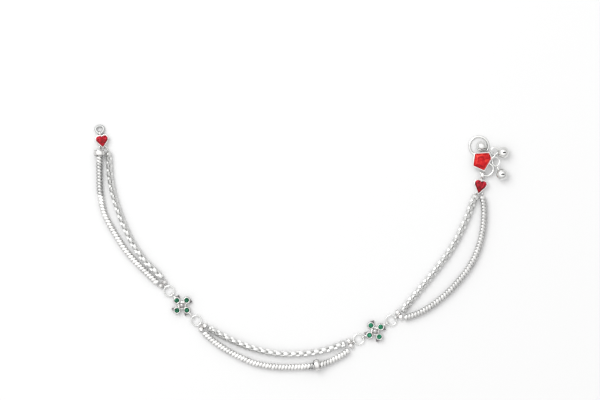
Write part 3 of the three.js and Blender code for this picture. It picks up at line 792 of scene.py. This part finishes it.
for flower_side in FLOWERS:
    make_flower(flower_side)


# ---- cut stones ----

def level_row(outline, centre, height):
    """An outline round a centre, as a row of points at one height."""
    return np.column_stack([outline, np.full(len(outline), height)]) + np.append(centre, 0.0)


def faceted(outline, centre, base, girdle, crown, table):
    """A cut stone of any outline: a girdle, then two rings of three-sided facets up to a flat table, which
    is that share of the outline. Each ring's points lie half a step round from the last."""
    outline = np.asarray(outline, float)
    next_corner = np.roll(outline, -1, axis=0)
    between = (outline + next_corner) / 2
    top = base + girdle
    rings = [
        (outline * 0.8, base),
        (outline, base + girdle * 0.5),
        (outline, top),
        (between * (1 + table) / 2, top + crown * 0.62),
        (next_corner * table, top + crown),
    ]
    count = len(outline)
    rows = [level_row(ring, centre, height) for ring, height in rings]
    points = np.concatenate(rows + [rows[0].mean(0, keepdims=True), rows[-1].mean(0, keepdims=True)])
    here, after = np.arange(count), (np.arange(count) + 1) % count
    faces = grid_faces(3, count).tolist()
    for ring in (2, 3):
        lower, upper = ring * count, (ring + 1) * count
        faces += np.stack([lower + here, lower + after, upper + here], axis=-1).tolist()
        faces += np.stack([lower + after, upper + after, upper + here], axis=-1).tolist()
    faces += fan_faces(0, count, 5 * count, True).tolist()
    faces += fan_faces(4 * count, count, 5 * count + 1, False).tolist()
    return points, faces


def facet_tones(stone, seed, table_share):
    """A painted reflection for each facet, its shade by chance. The last seventh, with the table's slices,
    is drawn in towards the middle shade, so that the table looks flat."""
    count = len(stone[1])
    tones = np.random.default_rng(seed).uniform(0, 1, count)
    table = count - count // 7
    tones[table:] = 0.5 + (tones[table:] - 0.5) * table_share
    return tones


def heart_outline(point, inset, half_count):
    """A heart with its point towards -Y, shrunk by an inset: two round lobes and the tangents that meet at
    the point, as evenly spaced points from the tip up the right side to the notch and down the left."""
    lobe, spread = HEART_LOBE, HEART_LOBE_SPREAD
    slope = math.atan(spread / point) + math.asin(lobe / math.hypot(spread, point))
    radius = lobe - inset
    notch = math.acos(-spread / radius)
    fine = 60
    angle = np.linspace(-slope, notch, fine)
    arc = np.stack([spread + radius * np.cos(angle), radius * np.sin(angle)], axis=-1)
    tip = np.array([[0.0, -(point - inset / math.sin(slope))]])
    side = np.concatenate([tip, arc])
    travelled = travelled_along(side)
    half = points_at(side, travelled, np.linspace(0, travelled[-1], half_count + 1))
    whole = np.concatenate([half, (half * (-1, 1))[-2:0:-1]])
    return whole + (0.0, (point - lobe) / 2)


def turned(points, degrees):
    """Points turned about the origin, in the plane."""
    c, s = math.cos(math.radians(degrees)), math.sin(math.radians(degrees))
    return np.asarray(points) @ np.array([[c, s], [-s, c]])


def cup(outline_at, centre, base, height, wall, seat):
    """A stone's cup: its outer wall, a rounded rim, and its inner wall down to the seat. outline_at gives
    the edge at an inset from the outside."""
    rim = base + height
    steps = [
        (0.16, base), (0.0, base + 0.15), (0.0, rim - 0.14), (0.05, rim - 0.03),
        (0.1, rim), (wall - 0.05, rim), (wall, rim - 0.07), (wall, base + seat),
    ]
    return closed_rows([level_row(outline_at(inset), centre, level) for inset, level in steps])


# An eye on a heart that is larger than this is a band, of this half width.
BROAD_EYE_OVER = 1.1
HEART_EYE_BAND = 0.6


def heart_eye(centre, x, y, z, angle, radius, wire):
    """An eye on a heart's cup, and the neck that joins it to the wall."""
    band = HEART_EYE_BAND if radius > BROAD_EYE_OVER else None
    inwards = unit(np.append(centre, 0.0) - (x, y, 0.0))
    start = np.array([x, y, z]) + inwards * radius
    end = start + inwards * 1.1 - UP * (z - LINK_HEIGHT) * 0.6
    return [upright_eye(x, y, z, angle, radius, wire, band), rod(start, end, 0.28, 0.4)]


def make_heart(side):
    """A heart's cup with its eyes and necks, and its stone."""
    heart = HEARTS[side]
    centre = np.array(heart["at"])
    name, stone_name = f"heart_setting_{side}", f"heart_stone_{side}"

    def edge(inset, half_count=36):
        return turned(heart_outline(heart["point"], inset, half_count), heart["turn"])

    parts = [cup(edge, centre, base=0.0, height=2.2, wall=0.3, seat=1.1)]
    for eye in heart["eyes"]:
        parts += heart_eye(centre, *eye)
    add_piece(name, "cast", joined(parts), CAST_SILVER, sharp=50)
    stone = faceted(edge(0.34, 8), centre, base=1.2, girdle=0.75, crown=0.75, table=0.52)
    tones = facet_tones(stone, 3 if side == "left" else 8, 0.5)
    add_piece(stone_name, "cut", stone, HEART_STONE, sharp=1, tones=tones)


for heart_side in HEARTS:
    make_heart(heart_side)


def make_flower_stones(side):
    """A flower's twelve-sided stones, a shade brighter in the right flower."""
    brighter = 0.25 if side == "right" else 0.0
    for number in (1, 2, 3, 4):
        name = f"flower_stone_{side}_{number}"
        centre = middle_of(name)[:2]
        stone = faceted(circle(0.97, 12), centre, base=1.45, girdle=0.45, crown=0.5, table=0.5)
        tones = facet_tones(stone, number + len(side), 0.6) * 0.75 + brighter
        add_piece(name, "cut", stone, GREEN_STONE, sharp=1, tones=tones)


for flower_side in FLOWERS:
    make_flower_stones(flower_side)


# ---- the hook, its cup and stone ----

def rounded_polygon(corners, inset, radius, per_corner):
    """A polygon with rounded corners, every side moved inwards by an inset: each corner becomes an arc,
    whose middle lies on the line that halves the corner."""
    corners = np.asarray(corners, float)
    arriving = unit(corners - np.roll(corners, 1, axis=0))
    leaving = unit(np.roll(corners, -1, axis=0) - corners)
    both = arriving + leaving
    inwards = unit(np.stack([-both[:, 1], both[:, 0]], axis=-1))
    half = np.sum(inwards * np.stack([-arriving[:, 1], arriving[:, 0]], axis=-1), axis=1)
    least = 0.05
    reach = max(radius - inset, least)
    centres = corners + inwards * ((inset + reach) / half)[:, None]
    start = np.arctan2(-arriving[:, 0], arriving[:, 1])
    sweep = (np.arctan2(-leaving[:, 0], leaving[:, 1]) - start) % TURN
    angle = start[:, None] + sweep[:, None] * np.linspace(0, 1, per_corner)
    arc = centres[:, None] + reach * np.stack([np.cos(angle), np.sin(angle)], axis=-1)
    return arc.reshape(-1, 2)


def arc_points(loop, radius, start, end, count):
    """Points round part of a loop, at its height."""
    angle = np.radians(np.linspace(start, end, count))
    return np.asarray(loop) + radius * np.stack([np.cos(angle), np.sin(angle), np.zeros(count)], axis=-1)


def hook_wire():
    """The S: most of the upper loop, along under the cup, and half of the lower loop."""
    guide = np.concatenate([
        arc_points(HOOK_TOP, 3.78, -36, 225, 15),
        [(PENTAGON_AT[0] - 0.2, PENTAGON_AT[1] + 0.6, 1.15)],
        arc_points(HOOK_LOW, 2.85, 20, -158, 12),
    ])
    return wire_along(smooth_route(guide, 0.22), HOOK_WIRE, 16)


def bell_eye():
    """The upright eye beside the cup that two bells hang from, and the bar that holds it."""
    x, y, z = BELL_EYE
    radius, wire = 1.2, 0.26
    bar = rod((PENTAGON_AT[0] + 3.3, y - radius, z + radius), (x, y, z + radius), 0.32, wire)
    return [upright_eye(x, y, z, 90, radius, wire), bar]


def bell_staple():
    """The staple on the cup's upper side that the third bell hangs from: a bar on two posts."""
    x, y, z = BELL_STAPLE
    wire, half_span, half_bar = 0.16, 0.74, 0.9
    bar = rod((x - half_bar, y, z), (x + half_bar, y, z), wire)
    posts = [x - half_span, x + half_span]
    return [bar] + [rod((post, y - 0.1, z), (post, y - 0.7, PENTAGON_BASE + 0.2), wire) for post in posts]


def pentagon_cup():
    """The five-sided cup soldered over the hook's middle."""
    return cup(
        lambda inset: rounded_polygon(PENTAGON, inset, 0.45, 6),
        PENTAGON_AT, PENTAGON_BASE, PENTAGON_HEIGHT, wall=0.35, seat=0.7,
    )


def make_hook():
    """The S-shaped wire with its cup, the eye and the staple for the bells, and the cup's stone."""
    parts = [hook_wire(), pentagon_cup()] + bell_eye() + bell_staple()
    add_piece("s_hook", "wire_and_cup", joined(parts), WIRE_SILVER, sharp=50)
    outline = rounded_polygon(PENTAGON, 0.4, 0.8, 3)
    stone = faceted(outline, PENTAGON_AT, base=2.25, girdle=0.75, crown=0.7, table=0.6)
    tones = facet_tones(stone, 21, 0.6)
    add_piece("pentagon_stone", "cut", stone, BRIGHT_STONE, sharp=1, tones=tones)


def make_end_ring():
    """The ring that the hook catches, wider at its far end, which lies low."""
    ring = lying_ring((-80.75, 45.6, 1.25), (-81.0, 48.58, 0.56), 0.52, taper=0.25)
    add_piece("end_ring", "wire", ring, GREY_DULL_SILVER)


make_hook()
make_end_ring()


# ---- bells ----

def bell_shell(at, radius, towards, along, slit):
    """A ball of thin sheet: rows of radius * cos(latitude) about the axis that lies square to its slit. Two
    rows run along the slit's edges, and the faces between them are left out over the slit's length."""
    outwards = unit(towards)
    across = unit(np.cross(outwards, along))
    run = np.cross(across, outwards)
    edge = math.asin(BELL_SLIT_WIDTH / 2 / radius)
    up_to_pole = np.linspace(edge, math.pi / 2, 15)[:-1]
    latitude = np.concatenate([-up_to_pole[::-1], up_to_pole])
    count = 40
    angle = (np.arange(count) + 0.5) * TURN / count
    spoke = np.cos(angle)[:, None] * outwards + np.sin(angle)[:, None] * run
    out, side = np.cos(latitude)[:, None, None], np.sin(latitude)[:, None, None]
    points, faces = closed_rows(np.asarray(at) + radius * (out * spoke + side * across))
    between_edges = (len(up_to_pole) - 1) * count
    left_out = between_edges + np.flatnonzero(np.cos(angle) > math.cos(math.asin(slit / 2)))
    return points, [faces[index] for index in np.delete(np.arange(len(faces)), left_out)]


def make_bell(name, loop):
    """A hollow bell, whose sheet thickens inwards, and the wire it hangs by."""
    piece = add_piece(name, "shell", bell_shell(**BELLS[name]), BELL_SILVER)
    piece.data.materials.append(BELL_INSIDE_OXIDE_AND_SHADE)
    wall = piece.modifiers.new("sheet", "SOLIDIFY")
    wall.thickness = BELL_SHEET * MM
    wall.offset = -1
    wall.material_offset = 1
    add_piece(name, "loop", joined(loop), WIRE_SILVER)


make_bell("bell_1", [
    lying_ring((76.9, 37.15, 1.5), (76.9, 40.0, 1.7), 0.24),
    rod((78.2, 38.5, 1.65), (78.5, 38.4, 1.75), 0.36),
])
make_bell("bell_2", [
    lying_ring((77.25, 36.1, 1.5), (77.65, 32.6, 2.0), 0.24, 0.8),
    rod((77.7, 32.5, 2.0), (78.6, 31.0, 2.2), 0.26, 0.42),
])
make_bell("bell_3", [
    upright_eye(71.8, 37.95, 0.7, 90, 0.48, 0.16),
    rod((71.8, 38.4, 0.7), (71.8, 39.1, 0.8), 0.2, 0.3),
])


# ---- the table, the light and the camera ----

# How bright the room is by height, from level with the table, 0, to straight above, 1.
ROOM_LIGHT = [(0.0, 0.5), (0.3, 0.5), (0.6, 0.72), (0.85, 1.0)]
WORLD_STRENGTH = 1.42
LAMP_POWER = 6.0


def make_table():
    """Matt white card, far wider than the view: no gloss, and a faint fibre, drawn coarser than it is."""
    material, place = new_material("matt white card")
    fibre = node(material, "ShaderNodeTexNoise", {"Vector": place, "Scale": per_mm(0.8), "Detail": 2.0})
    relief = {"Height": fibre.outputs["Fac"], "Strength": 0.05, "Distance": 0.02 * MM}
    bump = node(material, "ShaderNodeBump", relief).outputs["Normal"]
    mesh = bpy.data.meshes.new("table")
    half = 1.5
    corners = [(-half, -half, 0), (half, -half, 0), (half, half, 0), (-half, half, 0)]
    mesh.from_pydata(corners, [], [(0, 1, 2, 3)])
    card = {"Base Color": linear("#D6D6D6"), "Roughness": 0.9, "Normal": bump}
    mesh.materials.append(finished(material, card))
    placed("table", mesh, (0, 0, CAD_BOX[0][2]))


def make_room():
    """A white room, dimmer towards the horizon and towards its near right corner."""
    world = bpy.data.worlds.new("white room")
    bpy.context.scene.world = world
    world.use_nodes = True
    world.node_tree.nodes.clear()
    place = node(world, "ShaderNodeTexCoord").outputs["Generated"]
    height = node(world, "ShaderNodeSeparateXYZ", {"Vector": place}).outputs["Z"]
    ramp = node(world, "ShaderNodeValToRGB", {"Fac": height})
    while len(ramp.color_ramp.elements) < len(ROOM_LIGHT):
        ramp.color_ramp.elements.new(0.5)
    for element, (position, value) in zip(ramp.color_ramp.elements, ROOM_LIGHT):
        element.position = position
        element.color = (value, value, value, 1.0)
    right_and_near = {0: place, 1: (0.7, -0.7, 0.0)}
    towards = node(world, "ShaderNodeVectorMath", right_and_near, operation="DOT_PRODUCT").outputs["Value"]
    falloff = {"Value": towards, "From Min": -1.0, "To Min": 1.2, "To Max": 0.8}
    share = node(world, "ShaderNodeMapRange", falloff).outputs["Result"]
    strength = node(world, "ShaderNodeMath", {0: share, 1: WORLD_STRENGTH}, operation="MULTIPLY").outputs[0]
    glow = {"Color": ramp.outputs["Color"], "Strength": strength}
    background = node(world, "ShaderNodeBackground", glow).outputs["Background"]
    node(world, "ShaderNodeOutputWorld", {"Surface": background})


def make_lamp():
    """One broad lamp above, to the left and behind."""
    lamp = bpy.data.lights.new("broad lamp", "AREA")
    lamp.size = 0.7
    lamp.energy = LAMP_POWER
    holder = placed("broad lamp", lamp, (-0.45, 0.5, 0.9))
    holder.rotation_euler = (math.radians(-33), math.radians(-24), 0)


def make_camera():
    """Straight above, far off, so that the rings look round."""
    camera = bpy.data.cameras.new("overhead")
    height, frame_width = 1.6, 0.24
    camera.lens = camera.sensor_width * height / frame_width
    camera.clip_start = 0.01
    camera.clip_end = 20
    bpy.context.scene.camera = placed("overhead", camera, (-0.0008, 0.0190, height))


make_table()
make_room()
make_lamp()
make_camera()
bpy.context.scene.view_settings.view_transform = "Standard"
